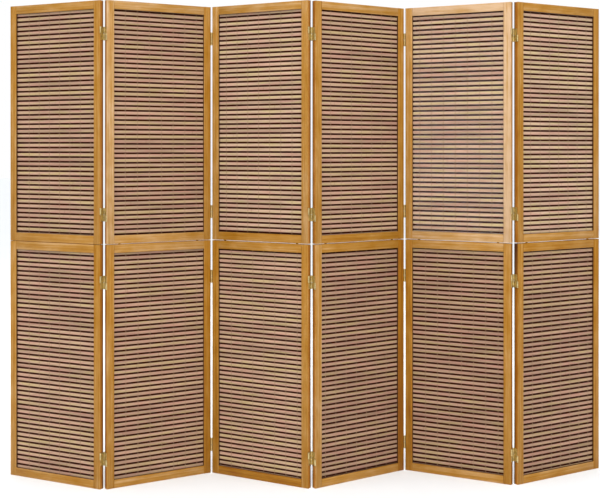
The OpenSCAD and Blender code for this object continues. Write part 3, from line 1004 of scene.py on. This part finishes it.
def leaf_piece(settings, material):
    """Leaf on the right edge of a panel: a plate with two front knuckles above and two back
    knuckles below."""
    shape = bmesh.new()
    outer = settings.edge_gap / 2
    inner = outer - settings.plate
    half = settings.height / 2
    add_prism(shape, rounded_box(settings.leaf_half, half, LEAF_CORNER), -outer, -inner, (2, 0, 1))
    for side in (-1, 1):
        for low in (settings.half_start, half - settings.knuckle):
            base = low if side < 0 else -low - settings.knuckle
            add_knuckle(shape, settings, side, base, settings.knuckle)
            root = side * (settings.leaf_half - STRAP_LAP)
            strap = [
                (-outer, root), (-inner, root),
                (-inner, side * (settings.axis_out - settings.bore)),
                (-outer, side * settings.axis_out)]
            add_prism(shape, strap, base, base + settings.knuckle, (0, 1, 2))
    return finish_mesh("leaf", shape, material)


def link_piece(settings, material):
    """Link of a hinge's upper half: a plate with one long knuckle in front and one behind."""
    shape = bmesh.new()
    half = settings.height / 2
    low = settings.half_start + settings.knuckle + settings.gap
    high = half - settings.knuckle - settings.gap
    thin = settings.plate / 2
    reach = settings.axis_out - settings.bore
    edge = settings.link_half
    outline = [(edge, settings.half_start), (edge, low), (reach, low), (reach, high), (edge, high),
               (edge, half)]
    outline += [(-across, height) for across, height in reversed(outline)]
    add_prism(shape, outline, -thin, thin, (2, 0, 1))
    for side in (-1, 1):
        add_knuckle(shape, settings, side, low, high - low)
    return finish_mesh("link", shape, material)


def pin_piece(run, thickness, head, material):
    """Pin about its own middle, with a low riveted dome at each end."""
    shape = bmesh.new()
    top = [(head * r, run / 2 - d * DOME_HEIGHT) for r, d in DOME]
    neck = top[-1][1]
    profile = top + [(thickness / 2, neck), (thickness / 2, -neck)]
    profile += [(radius, -height) for radius, height in reversed(top)]
    add_lathe(shape, profile, PIN_STEPS)
    return finish_mesh("pin", shape, material)


def screw_piece(run, head, shank, plate, material):
    """Slotted countersunk wood screw. Its head faces -Z at height 0 and it drives towards +Z."""
    shape = bmesh.new()
    profile = [
        (0, -0.12 * MM), (head * 0.6, -0.09 * MM), (head * 0.97, 0), (head, 0.12 * MM),
        (shank, plate), (shank, run - TIP), (0.3 * MM, run - 0.2 * MM), (0, run)]
    add_lathe(shape, profile, PIN_STEPS)
    screw = finish_mesh("screw", shape, material)
    cut = bmesh.new()
    outline = rounded_box(head * 1.2, SLOT_HALF, 0.05 * MM, 1)
    add_prism(cut, outline, -1 * MM, SLOT_DEPTH, (0, 1, 2))
    slot = finish_mesh("slot", cut, material)
    modifier = screw.modifiers.new("Slot", "BOOLEAN")
    modifier.object = slot
    modifier.solver = "EXACT"
    evaluated_mesh(screw)
    bpy.data.objects.remove(slot)
    return screw


def make_copies(panel, kind, name, piece, tree, points, material):
    made = grow(f"{panel.body}_{name}", tree, points, {
        "Piece": piece, "Seed": SEEDS["hardware"] + panel.number, "Material": material})
    place_piece(made, panel, kind)


def hinge_middles(panel, settings):
    """Where a panel's hinges are, half a gap outside its edges, with the half turn that each one
    needs."""
    reach = max(stile.high.x for stile in solids_of(panel, "stiles")) + settings.edge_gap / 2
    for leaf in solids_of(panel, "hinge_leaves"):
        middle = solid_middle(leaf)
        right = middle.x > 0
        yield Vector((reach if right else -reach, 0, middle.z)), 0.0 if right else math.pi


# ---------------------------------------------------------------- stage

# Name, place, target, side in metres and power in watts of the square lights
LIGHTS = (
    ("softbox", (0.4, -3.6, 3.4), (0.0, 0.0, 1.2), 2.4, 60),
    ("floor wash", (0.0, 2.6, 3.2), (0.0, 1.4, 0.0), 4.0, 120))
SUN_DIRECTION = (0.06, 0.6, -1.0)
# Angle over which the sun is spread, in degrees, which makes its shadows soft
SUN_SPREAD = 90
BACKDROP_RADIUS = 70


def make_floor(settings):
    shape = bmesh.new()
    bmesh.ops.create_grid(shape, x_segments=1, y_segments=1, size=settings.floor_size / 2)
    finish_mesh("floor", shape, painted_floor(settings))


def make_backdrop():
    """White cloth far behind everything, which gives no light of its own to the screen."""
    material, tree = new_material("lit white cloth")
    glow = add_node(tree, "ShaderNodeEmission", {"Color": WHITE, "Strength": 1.0})
    add_node(tree, "ShaderNodeOutputMaterial", {"Surface": glow})
    shape = bmesh.new()
    bmesh.ops.create_uvsphere(shape, u_segments=48, v_segments=24, radius=BACKDROP_RADIUS)
    cloth = finish_mesh("backdrop", shape, material)
    cloth.visible_diffuse = cloth.visible_glossy = cloth.visible_shadow = False


def make_sky(context, settings):
    """Even soft light from all round."""
    world = bpy.data.worlds.new("Studio")
    world.use_nodes = True
    light = world.node_tree.nodes["Background"]
    light.inputs["Color"].default_value = WHITE
    light.inputs["Strength"].default_value = settings.sky
    context.scene.world = world


def aim(thing, direction):
    thing.rotation_euler = Vector(direction).to_track_quat("-Z", "Y").to_euler()


def make_sun(settings):
    """Very broad light from high in front, which whitens the floor all round."""
    light = bpy.data.lights.new("sun", "SUN")
    light.energy = settings.sun
    light.angle = math.radians(SUN_SPREAD)
    aim(link_object("sun", light), SUN_DIRECTION)


def make_light(name, place, target, size, power):
    light = bpy.data.lights.new(name, "AREA")
    light.shape = "SQUARE"
    light.size = size
    light.energy = power
    lamp = link_object(name, light)
    lamp.location = place
    aim(lamp, Vector(target) - Vector(place))


def make_camera(context, settings):
    """The camera stands level, as the upright lines of the photograph are parallel."""
    camera = bpy.data.cameras.new("camera")
    camera.lens = settings.lens
    camera.sensor_width = 36
    camera.shift_y = settings.shift
    piece = link_object("camera", camera)
    piece.location = settings.camera_place
    piece.rotation_euler.x = math.radians(90)
    context.scene.camera = piece


# ---------------------------------------------------------------- operators


class BuildBase:
    """What all the builders share."""

    bl_options = {"REGISTER"}

    def execute(self, context):
        self.build(context)
        return {"FINISHED"}


class SCREEN_OT_stage(BuildBase, bpy.types.Operator):
    """Set up the floor, the light and the camera"""

    bl_idname = "screen.stage"
    bl_label = "Stage"

    def build(self, context):
        settings = context.scene.screen_stage
        context.scene.view_settings.view_transform = "Standard"
        make_floor(settings)
        make_backdrop()
        make_sky(context, settings)
        make_sun(settings)
        for light in LIGHTS:
            make_light(*light)
        make_camera(context, settings)


class SCREEN_OT_boards(BuildBase, bpy.types.Operator):
    """Build the stiles and rails of all panels"""

    bl_idname = "screen.boards"
    bl_label = "Stiles and rails"

    def build(self, context):
        settings = context.scene.screen_boards
        wood = lacquered_pine(settings)
        for panel in map(find_panel, PANELS):
            make_stiles(panel, settings, wood)
            make_rails(panel, settings, wood)


class SCREEN_OT_dowels(BuildBase, bpy.types.Operator):
    """Give the dowels a near-black material of painted shade"""

    bl_idname = "screen.dowels"
    bl_label = "Dowels"

    def build(self, context):
        beech = turned_beech()
        for number in PANELS:
            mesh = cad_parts[f"panel_{number}_dowels"].data
            mesh.materials.clear()
            mesh.materials.append(beech)


def build_mats(context, tree, finish, make):
    """Builds one kind of a mat's pieces on all panels."""
    settings = context.scene.screen_mats
    material = finish(settings)
    for panel in map(find_panel, PANELS):
        make(panel, settings, tree, material)


class SCREEN_OT_slats(BuildBase, bpy.types.Operator):
    """Build the bamboo slats of all mats"""

    bl_idname = "screen.slats"
    bl_label = "Slats"

    def build(self, context):
        tree = rod_tree("Woven slats", is_round=False)
        build_mats(context, tree, split_bamboo, make_slats)


class SCREEN_OT_sticks(BuildBase, bpy.types.Operator):
    """Build the dark sticks of all mats"""

    bl_idname = "screen.sticks"
    bl_label = "Sticks"

    def build(self, context):
        tree = rod_tree("Woven sticks", is_round=True)
        build_mats(context, tree, stained_stick, make_sticks)


class SCREEN_OT_threads(BuildBase, bpy.types.Operator):
    """Build the warp threads of all mats"""

    bl_idname = "screen.threads"
    bl_label = "Warp threads"

    def build(self, context):
        build_mats(context, thread_tree(), cotton_thread, make_threads)


class SCREEN_OT_hinge_plates(BuildBase, bpy.types.Operator):
    """Build the leaves and links of all hinges"""

    bl_idname = "screen.hinge_plates"
    bl_label = "Hinge leaves and links"

    def build(self, context):
        settings = context.scene.screen_hinges
        brass = plated_brass("brass plated sheet", settings.brass, 0.34)
        tree = copy_tree()
        leaf = leaf_piece(settings, brass)
        link = link_piece(settings, brass)
        for panel in map(find_panel, PANELS):
            middles = list(hinge_middles(panel, settings))
            leaves = [point_at(panel, place, spin=turn) for place, turn in middles]
            make_copies(
                panel, "hinge_leaves", "leaves", leaf, tree, leaves, brass)
            links = []
            for middle in map(solid_middle, solids_of(panel, "hinge_links")):
                place, turn = min(middles, key=lambda m: (m[0] - middle).length)
                flip = 0.0 if middle.z > place.z else math.pi
                links.append(point_at(panel, place, flip=flip, spin=turn))
            make_copies(panel, "hinge_links", "links", link, tree, links, brass)
        bpy.data.objects.remove(leaf)
        bpy.data.objects.remove(link)


class SCREEN_OT_hinge_pins(BuildBase, bpy.types.Operator):
    """Build the pins of all hinges"""

    bl_idname = "screen.hinge_pins"
    bl_label = "Hinge pins"

    def build(self, context):
        settings = context.scene.screen_hinges
        wire = plated_brass("brass plated wire", shaded(settings.brass, 0.85), 0.4)
        tree = copy_tree()
        size = solid_size(solids_of(find_panel(1), "hinge_pins")[0])
        pin = pin_piece(size.z, 2 * (settings.bore - PIN_ROOM), size.x / 2, wire)
        for panel in map(find_panel, PANELS):
            points = [point_at(panel, solid_middle(s)) for s in solids_of(panel, "hinge_pins")]
            make_copies(panel, "hinge_pins", "pins", pin, tree, points, wire)
        bpy.data.objects.remove(pin)


class SCREEN_OT_screws(BuildBase, bpy.types.Operator):
    """Build the screws of all hinges"""

    bl_idname = "screen.screws"
    bl_label = "Screws"

    def build(self, context):
        settings = context.scene.screen_hinges
        plating = plated_brass("brass plated screw", settings.brass, 0.3)
        tree = copy_tree()
        size = solid_size(solids_of(find_panel(1), "screws")[0])
        screw = screw_piece(size.x, size.y / 2, settings.shank, settings.plate, plating)
        screw.data.transform(Matrix.Rotation(math.radians(-90), 4, "Y"))
        for panel in map(find_panel, PANELS):
            points = []
            for number, solid in enumerate(solids_of(panel, "screws")):
                height = solid_middle(solid).z
                right = solid.high.x > 0
                head = solid.high.x if right else solid.low.x
                points.append(point_at(
                    panel, (head, 0, height), flip=number * SLOT_TURN,
                    spin=0.0 if right else math.pi))
            make_copies(
                panel, "screws", "wood_screws", screw, tree, points, plating)
        bpy.data.objects.remove(screw)


BUILDERS = (
    SCREEN_OT_stage, SCREEN_OT_boards, SCREEN_OT_dowels, SCREEN_OT_slats, SCREEN_OT_sticks,
    SCREEN_OT_threads, SCREEN_OT_hinge_plates, SCREEN_OT_hinge_pins, SCREEN_OT_screws)


class SCREEN_PT_panel(bpy.types.Panel):
    """Lists the builders and their settings"""

    bl_idname = "SCREEN_PT_panel"
    bl_label = "Folding screen"
    bl_space_type = "VIEW_3D"
    bl_region_type = "UI"
    bl_category = "Screen"

    def draw(self, context):
        for builder in BUILDERS:
            self.layout.operator(builder.bl_idname)
        for name, group in GROUPS.items():
            box = self.layout.box()
            for prop in group.__annotations__:
                box.prop(getattr(context.scene, name), prop)


CLASSES = (*GROUPS.values(), *BUILDERS, SCREEN_PT_panel)


def register():
    for item in CLASSES:
        bpy.utils.register_class(item)
    for name, group in GROUPS.items():
        setattr(bpy.types.Scene, name, PointerProperty(type=group))


def unregister():
    for name in GROUPS:
        delattr(bpy.types.Scene, name)
    for item in reversed(CLASSES):
        bpy.utils.unregister_class(item)


def main():
    register()
    bpy.ops.screen.stage()
    bpy.ops.screen.boards()
    bpy.ops.screen.dowels()
    bpy.ops.screen.slats()
    bpy.ops.screen.sticks()
    bpy.ops.screen.threads()
    bpy.ops.screen.hinge_plates()
    bpy.ops.screen.hinge_pins()
    bpy.ops.screen.screws()


if __name__ == "__main__":
    main()
